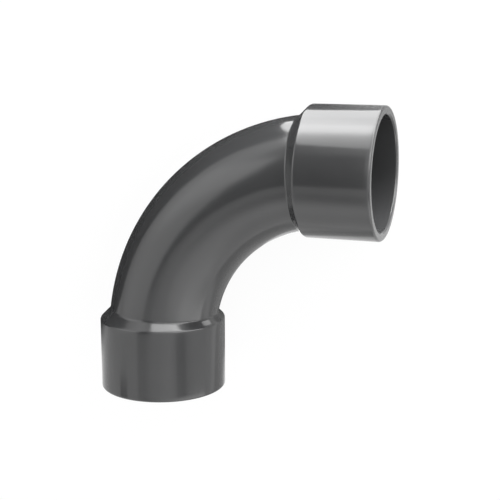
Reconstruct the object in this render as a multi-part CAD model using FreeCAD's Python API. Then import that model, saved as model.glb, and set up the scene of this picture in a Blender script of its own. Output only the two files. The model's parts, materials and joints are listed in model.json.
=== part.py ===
import FreeCAD, Part
import math
import os

# Driving dimensions, in millimetres and degrees

# Pipe that is cemented into each socket, and that the body matches outside
pipe_d = 63.0

# Sockets
socket_clearance = 0.1       # radial, between pipe and socket
socket_depth = 38.0          # from the mouth to the stop
socket_wall = 4.85
mouth_reach = 30.0           # from the end of the bend to the mouth
mouth_lead_in = 0.8          # chamfer that guides the pipe in
mouth_bevel = 0.8            # chamfer of the rim's outer edge

# Shoulders between body and sockets
stop_cover = 3.0             # from the stop back to the shoulder's outer edge
shoulder_angle = 45.0        # of the slope to the socket's axis
shoulder_bevel = 0.6         # cut back from the outer edge, along each side
shoulder_root_round = 1.5    # between the slope and the body

# Body, a tube bent along a circular arc
body_wall = 4.7
bend_radius = 100.8          # of the tube's centre line
bend_angle = 90.0

# Derived sizes, heights along a leg counted outward from the end of the bend
body_r = pipe_d / 2
waterway_r = body_r - body_wall
bore_r = body_r + socket_clearance
socket_r = bore_r + socket_wall
stop = mouth_reach - socket_depth
shoulder_edge = stop - stop_cover
rear_edge = shoulder_edge + shoulder_bevel
shoulder_slope = math.radians(shoulder_angle)
half_bend = math.radians(bend_angle / 2)

origin = FreeCAD.Vector(0, 0, 0)
up = FreeCAD.Vector(0, 0, 1)


def turned(outline):
    """Turns a closed outline of (radius, height) corners about the Z axis."""
    corners = [FreeCAD.Vector(radius, 0, height) for radius, height in outline]
    face = Part.Face(Part.makePolygon(corners + corners[:1]))
    return face.revolve(origin, up, 360)


def socket_outside():
    """A socket and its shoulder without the bore, with the slope run on into the body's wall."""
    root = shoulder_edge - (socket_r - waterway_r) / math.tan(shoulder_slope)
    slope_end = (
        socket_r - shoulder_bevel * math.sin(shoulder_slope),
        shoulder_edge - shoulder_bevel * math.cos(shoulder_slope),
    )
    return turned([
        (0, root),
        (waterway_r, root),
        slope_end,
        (socket_r, rear_edge),
        (socket_r, mouth_reach - mouth_bevel),
        (socket_r - mouth_bevel, mouth_reach),
        (0, mouth_reach),
    ])


def socket_bore():
    """The space that the pipe fills, opening out past the mouth."""
    past_mouth = mouth_reach + mouth_lead_in
    return turned([
        (0, stop),
        (bore_r, stop),
        (bore_r, mouth_reach - mouth_lead_in),
        (bore_r + 2 * mouth_lead_in, past_mouth),
        (0, past_mouth),
    ])


def on_leg(shape, side):
    """Moves a shape from the Z axis to a leg, and from the origin to the end of the bend."""
    outward = FreeCAD.Vector(side * math.cos(half_bend), -math.sin(half_bend), 0)
    inward = FreeCAD.Vector(-side * math.sin(half_bend), -math.cos(half_bend), 0)
    placed = shape.copy()
    turn = FreeCAD.Rotation(inward, origin, outward, "ZXY")
    placed.Placement = FreeCAD.Placement(-bend_radius * inward, turn)
    return placed


def bent_rod(radius):
    """A round rod bent about the Z axis, from one end of the bend to the other."""
    start = FreeCAD.Vector(-bend_radius * math.sin(half_bend), bend_radius * math.cos(half_bend), 0)
    along = FreeCAD.Vector(math.cos(half_bend), math.sin(half_bend), 0)
    section = Part.Face(Part.Wire(Part.makeCircle(radius, start, along)))
    return section.revolve(origin, up, -bend_angle)


def moulding():
    """The elbow in one piece, bent about the Z axis with its outermost point on +Y."""
    sides = (-1, 1)
    outside = bent_rod(body_r)
    for side in sides:
        outside = outside.fuse(on_leg(socket_outside(), side))
    outside = outside.removeSplitter()
    shoulder_roots = [edge for edge in outside.Edges if isinstance(edge.Curve, Part.BSplineCurve)]
    outside = outside.makeFillet(shoulder_root_round, shoulder_roots)
    hollow = [bent_rod(waterway_r)] + [on_leg(socket_bore(), side) for side in sides]
    return outside.cut(hollow).Solids[0]


def lying_tilt():
    """The tilt, in radians, at which the bend and the rear edges of both sockets touch the floor.

    On its side the part rests on the sockets, but its centre of mass lies past their rear
    edges, so it tips until the bend touches too. With k for the sine of the tilt, the bend
    reaches bend_radius * k + body_r below the middle of the bend's circle. A rear edge reaches
    (bend_radius - rise) * k + socket_r * sqrt(1 - (k * sin(half_bend))**2). Both are alike at
    the k that solves spread * k**2 + 2 * rise * body_r * k = socket_r**2 - body_r**2.
    """
    rise = bend_radius * (1 - math.cos(half_bend)) + rear_edge * math.sin(half_bend)
    spread = rise ** 2 + (socket_r * math.sin(half_bend)) ** 2
    root = math.sqrt((rise * body_r) ** 2 + spread * (socket_r ** 2 - body_r ** 2))
    return math.asin((root - rise * body_r) / spread)


def laid_down(shape):
    """Lays the part as it comes to rest, one leg towards +X and its footprint about the origin."""
    laid = shape.copy()
    laid.rotate(origin, FreeCAD.Vector(1, 0, 0), -math.degrees(lying_tilt()))
    laid.rotate(origin, up, math.degrees(half_bend))
    box = laid.optimalBoundingBox(False)
    laid.translate(FreeCAD.Vector(-box.Center.x, -box.Center.y, -box.ZMin))
    return laid


os.makedirs("parts", exist_ok=True)
elbow = laid_down(moulding())
elbow.exportStep("parts/elbow.step")
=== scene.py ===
import json
import math

import bpy
import numpy as np
from mathutils import Matrix, Vector


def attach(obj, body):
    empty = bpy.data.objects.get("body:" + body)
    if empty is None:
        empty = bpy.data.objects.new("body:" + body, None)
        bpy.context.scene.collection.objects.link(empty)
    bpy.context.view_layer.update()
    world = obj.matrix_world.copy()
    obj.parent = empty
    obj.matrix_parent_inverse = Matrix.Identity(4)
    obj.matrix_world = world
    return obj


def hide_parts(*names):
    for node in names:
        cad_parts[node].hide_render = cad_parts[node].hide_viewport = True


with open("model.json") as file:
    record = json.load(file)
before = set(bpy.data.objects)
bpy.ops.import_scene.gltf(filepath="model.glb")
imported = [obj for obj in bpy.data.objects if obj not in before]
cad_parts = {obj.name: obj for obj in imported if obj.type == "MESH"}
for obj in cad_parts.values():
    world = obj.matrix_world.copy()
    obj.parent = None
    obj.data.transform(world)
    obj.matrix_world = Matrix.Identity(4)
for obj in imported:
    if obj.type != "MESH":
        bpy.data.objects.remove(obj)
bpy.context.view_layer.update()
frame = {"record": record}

MM = 0.001

# Sizes of the moulding in millimetres, as its solid has them
BODY_R = 31.5
WATERWAY_R = 26.8
BEND_R = 100.8
BORE_R = 31.6
SOCKET_R = 36.45
MOUTH = 30.0
STOP = -8.0
SHOULDER_EDGE = -11.0
MOUTH_LEAD_IN = 0.8

# Angle of the shoulder's slope and of the mouth's lead-in, in degrees
SLOPE = 45.0

# Roundings of its edges
ROOT_BLEND = 0.75
SHOULDER_ROUND = 1.8
RIM_ROUND = 1.3
SMALL_ROUND = 0.25
STOP_ROUND = 0.5

# Fineness of the surface: points around a ring, rings along half the bend, rings along the straight
# stretches, points on the roundings, places of rings near the shoulder's root, on its slope and on the
# stop, and rounds of the two solvers
AROUND = 240
BEND_ROWS = 34
WALL_ROWS, RIM_ROWS, BORE_ROWS = 18, 5, 14
ROUND_STEPS, SMALL_STEPS, STOP_STEPS, LEDGE_STEPS = 8, 4, 5, 6
ROOT_FAR = [4.0, 3.2, 2.5, 1.9, 1.4]
ROOT_NEAR = [1.05, 0.8, 0.6, 0.42, 0.26, 0.12]
SLOPE_SHARES, STOP_SHARES = (0.25, 0.5, 0.75), (0.3, 0.7)
SOLVER_STEPS = 20

# Camera of the photograph: millimetres from the middle of the bend's circle, and degrees
AIM_RIGHT, AIM_UP = -46.45, 54.35
CAMERA_TURN, CAMERA_RISE, CAMERA_FAR = 19.3782, 11.455, 614.4
LENS, SENSOR = 78.324, 36.0


# Directions and centre of the bend, from the two sockets' places
mounts = {mount["name"]: mount for mount in frame["record"]["mounts"]}
place_x, place_y = (Vector(mounts[name]["pos_m"]) / MM for name in ("socket_x", "socket_y"))
right, down = (Vector(mounts[name]["axis"]) for name in ("socket_x", "socket_y"))
toward = right.cross(-down)
crossing = place_x - (place_x - place_y).dot(right) * right
bend_centre = crossing + BEND_R * (right + down)


def tube_reach(angle, height, radius):
    """Distance of the bent tube's skin from a leg's axis, at angles about it and heights along it."""
    reach = np.full(np.broadcast(angle, height).shape, radius)
    for _ in range(SOLVER_STEPS):
        across = BEND_R + reach * np.cos(angle)
        bend = np.hypot(across, height)
        side = reach * np.sin(angle)
        miss = np.hypot(bend - BEND_R, side) - radius
        slope = ((bend - BEND_R) * across / bend * np.cos(angle) + side * np.sin(angle)) / (miss + radius)
        reach = reach - miss / slope
    return reach


def smooth_max(a, b, blend):
    near = np.maximum(blend - np.abs(a - b), 0.0)
    return np.maximum(a, b) + near ** 2 / (4 * blend)


def arc(centre_reach, centre_height, radius, start, end, steps=ROUND_STEPS):
    """Points of a rounding in a half plane through a leg's axis, as (reach, height)."""
    turns = np.radians(np.linspace(start, end, steps))
    return [(centre_reach + radius * math.cos(t), centre_height + radius * math.sin(t)) for t in turns]


def between(start, end, rows):
    """Evenly spaced values between two others, without those two."""
    return np.linspace(start, end, rows)[1:-1]


angles = np.linspace(0.0, 2 * math.pi, AROUND, endpoint=False)


def leg_point(reach, height):
    """A ring of points in a leg's own frame: outward along it, away from the bend's centre, across."""
    reach = np.broadcast_to(reach, angles.shape)
    height = np.broadcast_to(height, angles.shape)
    return np.stack([height, reach * np.cos(angles), reach * np.sin(angles)], -1)


def bend_rings(reach, height, radius):
    """Rings on the bent tube, from the middle of the bend to a ring near a leg."""
    across = BEND_R + reach * np.cos(angles)
    bend = np.hypot(across, height)
    last = np.arctan2(-height, across)
    about = np.arctan2(reach * np.sin(angles), bend - BEND_R)
    out = BEND_R + radius * np.cos(about)
    rings = []
    for step in range(BEND_ROWS):
        back = math.pi / 4 + (last - math.pi / 4) * step / BEND_ROWS
        rings.append(np.stack([-out * np.sin(back), out * np.cos(back) - BEND_R, radius * np.sin(about)], -1))
    return rings


def shoulder_rings():
    """Rings from the middle of the bend over the shoulder's root and up its slope."""
    root = np.full(angles.shape, SHOULDER_EDGE - (SOCKET_R - BODY_R))
    for _ in range(SOLVER_STEPS):
        root = SHOULDER_EDGE - SOCKET_R + tube_reach(angles, root, BODY_R)
    start = root - ROOT_FAR[0]
    rings = bend_rings(tube_reach(angles, start, BODY_R), start, BODY_R)
    for step in [-step for step in ROOT_FAR + ROOT_NEAR] + [0.0] + ROOT_NEAR[::-1]:
        height = root + step
        on_slope = SOCKET_R - (SHOULDER_EDGE - height)
        reach = smooth_max(tube_reach(angles, height, BODY_R), on_slope, ROOT_BLEND)
        rings.append(leg_point(reach, height))
    slope = math.radians(SLOPE)
    slope_end = SHOULDER_EDGE - SHOULDER_ROUND * math.tan(slope / 2) * math.cos(slope)
    for share in SLOPE_SHARES:
        height = (root + ROOT_NEAR[0]) * (1 - share) + slope_end * share
        rings.append(leg_point(SOCKET_R - (SHOULDER_EDGE - height), height))
    return rings


def socket_outline():
    """A socket's outline as (reach, height), from the shoulder's edge over the rim and down the bore."""
    half_turn = math.tan(math.radians(SLOPE / 2))
    edge_end = SHOULDER_EDGE + SHOULDER_ROUND * half_turn
    rim_start = MOUTH - RIM_ROUND
    lead_start = BORE_R + MOUTH_LEAD_IN + SMALL_ROUND * half_turn
    lead_end = MOUTH - MOUTH_LEAD_IN - SMALL_ROUND * half_turn
    outline = arc(SOCKET_R - SHOULDER_ROUND, edge_end, SHOULDER_ROUND, -SLOPE, 0)
    outline += [(SOCKET_R, height) for height in between(edge_end, rim_start, WALL_ROWS)]
    outline += arc(SOCKET_R - RIM_ROUND, rim_start, RIM_ROUND, 0, 90)
    outline += [(reach, MOUTH) for reach in between(SOCKET_R - RIM_ROUND, lead_start, RIM_ROWS)]
    outline += arc(lead_start, MOUTH - SMALL_ROUND, SMALL_ROUND, 90, 90 + SLOPE, SMALL_STEPS)
    outline += arc(BORE_R + SMALL_ROUND, lead_end, SMALL_ROUND, 180 - SLOPE, 180, SMALL_STEPS)
    outline += [(BORE_R, height) for height in between(lead_end, STOP + STOP_ROUND, BORE_ROWS)]
    outline += arc(BORE_R - STOP_ROUND, STOP + STOP_ROUND, STOP_ROUND, 0, -90, STOP_STEPS)
    return outline


def stop_rings():
    """Rings across the flat stop and over its rounded inner edge."""
    ledge = tube_reach(angles, STOP, WATERWAY_R)
    outer = BORE_R - STOP_ROUND
    rings = []
    for share in STOP_SHARES:
        rings.append(leg_point(outer * (1 - share) + (ledge + STOP_ROUND) * share, STOP))
    for turn in np.radians(np.linspace(0, 90, LEDGE_STEPS)):
        height = STOP - STOP_ROUND * (1 - math.cos(turn))
        reach = tube_reach(angles, height, WATERWAY_R) + STOP_ROUND * (1 - math.sin(turn))
        rings.append(leg_point(reach, height))
    return rings


def leg_rings():
    """All rings of half the elbow, from the middle of the bend over the mouth into the waterway's middle."""
    rings = shoulder_rings() + [leg_point(reach, height) for reach, height in socket_outline()] + stop_rings()
    waterway_end = STOP - STOP_ROUND
    inner = bend_rings(tube_reach(angles, waterway_end, WATERWAY_R), waterway_end, WATERWAY_R)
    return rings + inner[::-1]


def placed(ring, outward, inward):
    """Takes a ring from a leg's own frame to the row frame, in millimetres."""
    end = bend_centre - BEND_R * inward
    axes = np.array([outward, -inward, toward])
    return ring @ axes + np.array(end)


def moulding():
    """The elbow's whole skin as one closed net of rings."""
    half = leg_rings()
    rings = [placed(ring, right, down) for ring in half]
    rings += [placed(ring, down, right) for ring in half[-2:0:-1]]
    rows = len(rings)
    step = np.arange(AROUND)
    after = (step + 1) % AROUND
    faces = []
    for row in range(rows):
        low, high = row * AROUND, (row + 1) % rows * AROUND
        faces += np.stack([low + step, low + after, high + after, high + step], -1).tolist()
    return np.concatenate(rings), faces


def signed_volume(points, faces):
    a, b, c, d = (points[[face[k] for face in faces]] for k in range(4))
    return float((np.cross(a, b) * c).sum() + (np.cross(a, c) * d).sum()) / 6


points, faces = moulding()
if signed_volume(points, faces) < 0:
    faces = [face[::-1] for face in faces]

mesh = bpy.data.meshes.new("elbow_skin")
mesh.from_pydata((points * MM).tolist(), [], faces)
mesh.polygons.foreach_set("use_smooth", [True] * len(faces))
mesh.update()
elbow = bpy.data.objects.new("elbow_skin", mesh)
bpy.context.scene.collection.objects.link(elbow)


# Shader nodes

def shader(name):
    """A new material, and its empty node tree."""
    material = bpy.data.materials.new(name)
    material.use_nodes = True
    material.node_tree.nodes.clear()
    return material, material.node_tree


def added(tree, kind, inputs, **settings):
    """Adds a node, and gives each input a constant or another node's output."""
    node = tree.nodes.new("ShaderNode" + kind)
    for name, value in settings.items():
        setattr(node, name, value)
    for name, value in inputs.items():
        if isinstance(value, bpy.types.NodeSocket):
            tree.links.new(value, node.inputs[name])
        else:
            node.inputs[name].default_value = value
    return node


def finished(tree, surface):
    added(tree, "OutputMaterial", {"Surface": surface})


def calculated(tree, operation, a, b):
    return added(tree, "Math", {0: a, 1: b}, operation=operation).outputs["Value"]


def blended(tree, a, b, share):
    """The number a where the share is 0, and b where it is 1."""
    return added(tree, "Mix", {"A": a, "B": b, "Factor": share}).outputs["Result"]


def layered(tree, a, b, share):
    """The shader a where the share is 0, and b where it is 1."""
    return added(tree, "MixShader", {"Fac": share, 1: a, 2: b}).outputs["Shader"]


def stepped(tree, value, low, high):
    """0 where a value is short of low, 1 where it is past high, and smooth between."""
    inputs = {"Value": value, "From Min": low, "From Max": high}
    return added(tree, "MapRange", inputs, interpolation_type="SMOOTHSTEP").outputs["Result"]


def levels(tree, value, stops):
    """Reads a level off between stops, each a place along the value and the level there."""
    places, heights = zip(*stops)
    first, last, top = places[0], places[-1], max(heights)
    share = added(tree, "MapRange", {"Value": value, "From Min": first, "From Max": last})
    ramp = added(tree, "ValToRGB", {"Fac": share.outputs["Result"]})
    ramp.color_ramp.interpolation = "EASE"
    marks = ramp.color_ramp.elements
    for place in places[1:-1]:
        marks.new((place - first) / (last - first))
    for mark, height in zip(marks, heights):
        mark.color = (height / top, height / top, height / top, 1)
    return calculated(tree, "MULTIPLY", ramp.outputs["Color"], top)


def object_place(tree):
    """The place of a point in its object's own axes, in metres."""
    return added(tree, "TexCoord", {}).outputs["Object"]


def diffuse(tree, shade):
    return added(tree, "BsdfDiffuse", {"Color": (shade, shade, shade, 1)}).outputs["BSDF"]


def glow(tree, strength):
    return added(tree, "Emission", {"Color": (1, 1, 1, 1), "Strength": strength}).outputs["Emission"]


# The plastic: its colours, its gloss, the depths of its waves and grain in metres, and the noises of its
# colour, gloss, waves and grain, each by scale, detail and roughness

PVC_IOR = 1.53
PVC_DARK, PVC_LIGHT = (0.0453, 0.0458, 0.0468, 1), (0.0507, 0.0513, 0.0525, 1)
PVC_SMOOTH, PVC_ROUGH = 0.12, 0.16
WAVE_DEPTH, GRAIN_DEPTH = 0.0002, 0.000004
FLOW_NOISE, GLOSS_NOISE = (28, 4, 0.5), (90, 6, 0.6)
WAVE_NOISE, GRAIN_NOISE = (45, 1, 0.5), (1600, 3, 0.6)

# Nearly all of a noise lies between these two values
NOISE_LOW, NOISE_HIGH = 0.3, 0.7


def noise(tree, position, scale, detail, roughness):
    inputs = {"Vector": position, "Scale": scale, "Detail": detail, "Roughness": roughness}
    return added(tree, "TexNoise", inputs).outputs["Fac"]


def ranged(tree, value, low, high):
    """Spreads a noise over the range from low to high."""
    inputs = {"Value": value, "From Min": NOISE_LOW, "From Max": NOISE_HIGH, "To Min": low, "To Max": high}
    return added(tree, "MapRange", inputs).outputs["Result"]


def pvc():
    """Dark grey moulded plastic: even colour, semi-gloss, faint flow marks and a slightly wavy skin."""
    material, tree = shader("pvc_grey")
    where = object_place(tree)
    flow = ranged(tree, noise(tree, where, *FLOW_NOISE), 0, 1)
    colour = added(tree, "Mix", {"A": PVC_DARK, "B": PVC_LIGHT, "Factor": flow}, data_type="RGBA")
    gloss = ranged(tree, noise(tree, where, *GLOSS_NOISE), PVC_SMOOTH, PVC_ROUGH)
    waves = added(tree, "Bump", {"Height": noise(tree, where, *WAVE_NOISE), "Distance": WAVE_DEPTH})
    grain = added(tree, "Bump", {
        "Height": noise(tree, where, *GRAIN_NOISE),
        "Distance": GRAIN_DEPTH,
        "Normal": waves.outputs["Normal"],
    })
    body = added(tree, "BsdfPrincipled", {
        "Base Color": colour.outputs["Result"],
        "Roughness": gloss,
        "IOR": PVC_IOR,
        "Normal": grain.outputs["Normal"],
    })
    finished(tree, body.outputs["BSDF"])
    return material


elbow.data.materials.append(pvc())
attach(elbow, "root")
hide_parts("elbow")


# Surroundings, with brightness 1 for white and places in millimetres

# The floor's shades, the first a dark grey that only matt light sees, which paints shade on the elbow's
# underside, the second its paper's grey to the camera; and its brightness to the camera
FLOOR_HALF = 3000.0
FLOOR_BOUNCE_SHADE, PAPER_SHADE = 0.16, 0.8
FLOOR_GLOW, GLOW_SHARE = 1.04, 0.9

# Painted reflection: a glow that the gloss shows in place of the floor, dark, but pale below the elbow, to
# its right and inside its bend, where its brightness goes by the angle about the elbow's middle, in degrees
# from -Y towards +X, and a little brighter again far beyond the elbow
PAINTED_REFLECTION_DARK = 0.04
PAINTED_REFLECTION_BELOW = (-62, -98)
PAINTED_REFLECTION_BESIDE = (30, 90)
PAINTED_REFLECTION_INNER_X, PAINTED_REFLECTION_INNER_Y = (-25, 20), (50, 10)
PAINTED_REFLECTION_PALE = [
    (-180, 1.05), (-5, 1.05), (6, 0.7), (28, 0.7), (36, 1.3), (42, 1.3), (50, 1.1), (60, 1.15), (75, 1.0),
    (180, 0.5),
]
PAINTED_REFLECTION_BEYOND, PAINTED_REFLECTION_BEYOND_LEVEL = (120, 600), 0.3

# What matt surfaces get of the lights that the gloss shows, so that they meet a plain level of light
PLAIN_SHARE = 0.6

# Two long diffusers, one on the floor beyond the elbow and one that stands behind it
LAMP_Y, LAMP_RIGHT, LAMP_TOP = 344.0, 420.0, 300.0
LAMP_NEAR, LAMP_LIFT = 117.0, 1.0
LAMP_FADE = [(-113, 1.12), (0, 1.0), (60, 0.86), (120, 0.8), (420, 0.8)]
LOW_EDGE = [(34, LAMP_NEAR), (12, 105), (1, 120), (-10, 145), (-25, 183), (-50, 250), (-90, LAMP_Y)]
LOW_LEVELS = [(LAMP_NEAR, 5.8), (165, 8.3), (240, 10.0), (LAMP_Y, 10.8)]
BACK_EDGE = [
    (LAMP_RIGHT, LAMP_TOP), (0, 245), (-30, 234), (-60, 220), (-90, 197), (-113, 150), (-113, 100),
    (-95, LAMP_LIFT),
]
BACK_LEVELS = [
    (0, 12.3), (62, 12.3), (85, 9.6), (105, 7.2), (125, 5.8), (160, 4.8), (200, 3.9), (LAMP_TOP, 2.8),
]

# The light tent's brightness at the bottom, and its bands from below upward: the heights between which
# each takes over, as sines, and its brightness at angles about the upright from the viewer's side, in
# degrees to the right
TENT_R, TENT_ROWS, TENT_COLUMNS = 800.0, 16, 64
TENT_BOTTOM = 1.3
TENT_BANDS = [
    (-0.98, -0.82, [(-180, 1.1), (-96, 1.6), (0, 1.65), (60, 2.0), (102, 1.4), (180, 1.1)]),
    (-0.8, -0.55, [
        (-180, 0.8), (-96, 1.35), (-36, 1.5), (-28, 1.4), (-20, 0.9), (-12, 0.6), (-4, 0.9), (6, 1.3),
        (12, 1.6), (30, 1.95), (54, 2.7), (102, 2.75), (180, 1.1),
    ]),
    (-0.5, -0.4, [
        (-180, 0.5), (-96, 1.0), (-78, 1.15), (-54, 1.3), (-28, 1.35), (-22, 0.85), (-12, 0.85), (-5, 1.1),
        (4, 1.2), (30, 1.4), (38, 1.2), (46, 0.5), (57, 0.4), (64, 0.9), (78, 1.1), (180, 1.0),
    ]),
    (-0.31, -0.2, [
        (-180, 0.3), (-90, 0.7), (-78, 0.85), (-66, 1.4), (-54, 1.6), (-42, 1.6), (-28, 1.5), (-22, 0.1),
        (-9, 0.0), (-4, 0.3), (3, 1.3), (20, 1.4), (102, 1.5), (180, 0.8),
    ]),
    (0.05, 0.35, [
        (-180, 0.3), (-90, 0.85), (-78, 1.0), (-66, 1.7), (-54, 2.3), (-42, 2.3), (-28, 2.2), (-22, 0.1),
        (-8, 0.0), (-2, 1.2), (4, 1.6), (20, 1.8), (50, 5.0), (102, 6.5), (180, 0.8),
    ]),
    (0.5, 0.7, [
        (-180, 0.5), (-90, 0.9), (-66, 1.3), (-54, 1.7), (-42, 1.7), (-30, 0.9), (-18, 0.25), (-6, 1.3),
        (45, 4.0), (102, 6.0), (140, 2.5), (180, 0.9),
    ]),
]

# Glowing patches that only the gloss shows: a white one on the floor, a painted highlight, by its corners,
# and a grey one before the tent's cloth, a painted darker reflection, by its angles and heights
PAINTED_HIGHLIGHT_CORNERS, PAINTED_HIGHLIGHT_LEVEL = [(20, -5, 0.5), (29, 0, 0.5), (46, 31, 0.5), (33, 34, 0.5)], 4.2
PAINTED_DARK_PATCH, PAINTED_DARK_LEVEL = [(-62, -0.365), (-47, -0.365), (-47, -0.5), (-62, -0.5)], 0.5
PAINTED_DARK_PATCH_R = 0.97 * TENT_R

# A small spot from the upper right that shines into the mouth: the depth of the place that it strikes,
# the way from there to the spot, its cone in degrees, how far its edge is blurred, its radius and its
# power in watts
SPOT_DEPTH = 12.0
SPOT_RIGHT, SPOT_UP, SPOT_BACK = 78.0, 90.0, 30.0
SPOT_CONE, SPOT_BLUR, SPOT_R, SPOT_POWER = 36.0, 1.0, 12.0, 0.9


def sheet(name, corners, material, faces=None):
    """A sheet of the studio, its corners in millimetres, flat unless it is given faces."""
    data = bpy.data.meshes.new(name)
    data.from_pydata([[c * MM for c in corner] for corner in corners], [], faces or [range(len(corners))])
    piece = bpy.data.objects.new(name, data)
    bpy.context.scene.collection.objects.link(piece)
    piece.data.materials.append(material)
    return piece


def scaled(pairs, unit):
    """Pairs with their first numbers in another unit."""
    return [(place * unit, level) for place, level in pairs]


def painted_reflection_level(tree):
    """Brightness of the painted reflection on the floor, by its place."""
    place = added(tree, "SeparateXYZ", {"Vector": object_place(tree)}).outputs

    def past(axis, edge):
        return stepped(tree, place[axis], edge[0] * MM, edge[1] * MM)

    inner = calculated(tree, "MULTIPLY", past("X", PAINTED_REFLECTION_INNER_X), past("Y", PAINTED_REFLECTION_INNER_Y))
    beside = calculated(tree, "MAXIMUM", inner, past("X", PAINTED_REFLECTION_BESIDE))
    pale_reflection = calculated(tree, "MAXIMUM", past("Y", PAINTED_REFLECTION_BELOW), beside)
    turned = calculated(tree, "ARCTAN2", place["X"], calculated(tree, "MULTIPLY", place["Y"], -1.0))
    level = blended(tree, PAINTED_REFLECTION_DARK, levels(tree, turned, scaled(PAINTED_REFLECTION_PALE, math.radians(1))), pale_reflection)
    beyond = calculated(tree, "MULTIPLY", past("Y", PAINTED_REFLECTION_BEYOND), PAINTED_REFLECTION_BEYOND_LEVEL)
    return calculated(tree, "ADD", level, beyond)


def floor_material():
    """White paper with the object's shadow to the camera, and in reflections a glow whose brightness is
    painted by place, a painted reflection.
    """
    material, tree = shader("floor_white")
    path = added(tree, "LightPath", {}).outputs
    mirrored = calculated(tree, "ADD", path["Is Glossy Ray"], path["Is Transmission Ray"])
    # Matt light sees the floor as a dark grey, painted shade on the elbow's underside; the gloss sees the
    # painted reflection
    around = layered(tree, diffuse(tree, FLOOR_BOUNCE_SHADE), glow(tree, painted_reflection_level(tree)), mirrored)
    seen = layered(tree, diffuse(tree, PAPER_SHADE), glow(tree, FLOOR_GLOW), GLOW_SHARE)
    finished(tree, layered(tree, around, seen, path["Is Camera Ray"]))
    return material


def light_up(material, tree, level):
    """Makes a material a light: the gloss shows it at its level, and matt surfaces get a plain share."""
    path = added(tree, "LightPath", {}).outputs
    plain = calculated(tree, "MULTIPLY", level, PLAIN_SHARE)
    finished(tree, glow(tree, blended(tree, level, plain, path["Is Diffuse Ray"])))
    material.cycles.emission_sampling = "NONE"


def lamp(name, corners, axis, stops):
    """A diffuser whose brightness changes along an axis, in millimetres, and fades towards +X."""
    material, tree = shader(name)
    place = added(tree, "SeparateXYZ", {"Vector": object_place(tree)}).outputs
    along = levels(tree, place[axis], scaled(stops, MM))
    fade = levels(tree, place["X"], scaled(LAMP_FADE, MM))
    light_up(material, tree, calculated(tree, "MULTIPLY", along, fade))
    return sheet(name, corners, material)


def tent_material():
    """The cloth of a light tent, with a dark gap beside the soft light on the left."""
    material, tree = shader("tent_cloth")
    place = object_place(tree)

    def along(axis):
        inputs = {0: place, 1: axis / (TENT_R * MM)}
        return added(tree, "VectorMath", inputs, operation="DOT_PRODUCT").outputs["Value"]

    height = along(-down)
    turned = calculated(tree, "ARCTAN2", along(right), along(toward))
    level = TENT_BOTTOM
    for low, high, stops in TENT_BANDS:
        band = levels(tree, turned, scaled(stops, math.radians(1)))
        level = blended(tree, level, band, stepped(tree, height, low, high))
    light_up(material, tree, level)
    return material


def tent():
    """A round tent of lit cloth over the floor, which the camera looks through."""
    corners = []
    for rise in np.linspace(0, math.pi / 2, TENT_ROWS + 1):
        for turn in np.linspace(0, 2 * math.pi, TENT_COLUMNS, endpoint=False):
            out = TENT_R * math.cos(rise)
            corners.append((out * math.cos(turn), out * math.sin(turn), TENT_R * math.sin(rise)))
    faces = []
    for row in range(TENT_ROWS):
        for column in range(TENT_COLUMNS):
            low, after = row * TENT_COLUMNS, (column + 1) % TENT_COLUMNS
            faces.append((low + column, low + after, low + TENT_COLUMNS + after, low + TENT_COLUMNS + column))
    return sheet("tent", corners, tent_material(), faces)


def on_tent(turn, height):
    """A place just inside the tent, at degrees about the upright and a height as a sine, in millimetres."""
    turn, level = math.radians(turn), math.sqrt(1 - height ** 2)
    return PAINTED_DARK_PATCH_R * (level * (math.sin(turn) * right + math.cos(turn) * toward) - height * down)


def gloss_patch(name, corners, strength):
    """A small glowing patch, which shows only in the gloss: a painted highlight where it is white, a painted
    darker reflection where it is grey.
    """
    material, tree = shader(name)
    finished(tree, glow(tree, strength))
    piece = sheet(name, corners, material)
    piece.visible_diffuse = False
    return piece


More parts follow.
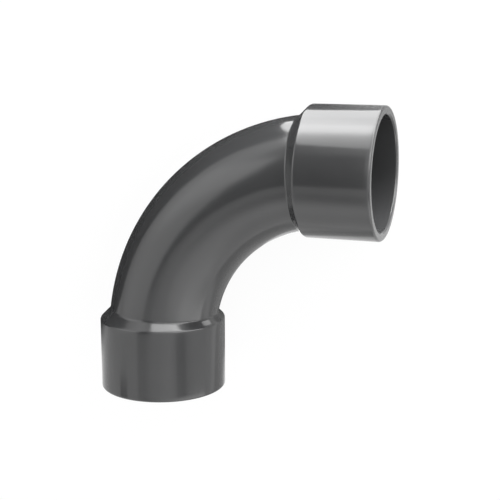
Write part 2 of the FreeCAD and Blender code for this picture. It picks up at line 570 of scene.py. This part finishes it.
def mouth_spot():
    """The spot that lights the lower side of the bore."""
    struck = bend_centre - BEND_R * down + (MOUTH - SPOT_DEPTH) * right + BORE_R * down
    beam = SPOT_RIGHT * right - SPOT_UP * down - SPOT_BACK * toward
    light = bpy.data.lights.new("lamp_mouth", "SPOT")
    light.energy = SPOT_POWER
    light.spot_size = math.radians(SPOT_CONE)
    light.spot_blend = SPOT_BLUR
    light.shadow_soft_size = SPOT_R * MM
    spot = bpy.data.objects.new("lamp_mouth", light)
    bpy.context.scene.collection.objects.link(spot)
    spot.location = (struck + beam) * MM
    spot.rotation_euler = (-beam).to_track_quat("-Z", "Y").to_euler()


floor_corners = [(x * FLOOR_HALF, y * FLOOR_HALF, 0) for x, y in ((-1, -1), (1, -1), (1, 1), (-1, 1))]
sheet("floor", floor_corners, floor_material())

low_outline = [(LAMP_RIGHT, LAMP_Y), (LAMP_RIGHT, LAMP_NEAR)] + LOW_EDGE
hidden = [
    lamp("lamp_low", [(x, y, LAMP_LIFT) for x, y in low_outline], "Y", LOW_LEVELS),
    lamp("lamp_back", [(x, LAMP_Y, z) for x, z in [(LAMP_RIGHT, LAMP_LIFT)] + BACK_EDGE], "Z", BACK_LEVELS),
    tent(),
    # Painted highlight and painted darker reflection, seen only in the gloss
    gloss_patch("painted_highlight", PAINTED_HIGHLIGHT_CORNERS, PAINTED_HIGHLIGHT_LEVEL),
    gloss_patch("painted_dark_reflection", [on_tent(turn, height) for turn, height in PAINTED_DARK_PATCH], PAINTED_DARK_LEVEL),
]
for piece in hidden:
    piece.visible_camera = False
mouth_spot()

world = bpy.data.worlds.new("white_room")
world.use_nodes = True
world.node_tree.nodes["Background"].inputs["Color"].default_value = (1, 1, 1, 1)
bpy.context.scene.world = world


# Camera

turn, rise = math.radians(CAMERA_TURN), math.radians(CAMERA_RISE)
level_back = math.sin(turn) * right + math.cos(turn) * toward
back = math.cos(rise) * level_back - math.sin(rise) * down
aim = bend_centre + AIM_RIGHT * right - AIM_UP * down
camera_data = bpy.data.cameras.new("camera")
camera_data.lens = LENS
camera_data.sensor_width = SENSOR
camera = bpy.data.objects.new("camera", camera_data)
bpy.context.scene.collection.objects.link(camera)
side = (-down).cross(back).normalized()
over = back.cross(side)
pose = Matrix((side, over, back)).transposed().to_4x4()
pose.translation = (aim + CAMERA_FAR * back) * MM
camera.matrix_world = pose
bpy.context.scene.camera = camera
bpy.context.scene.view_settings.view_transform = "Standard"
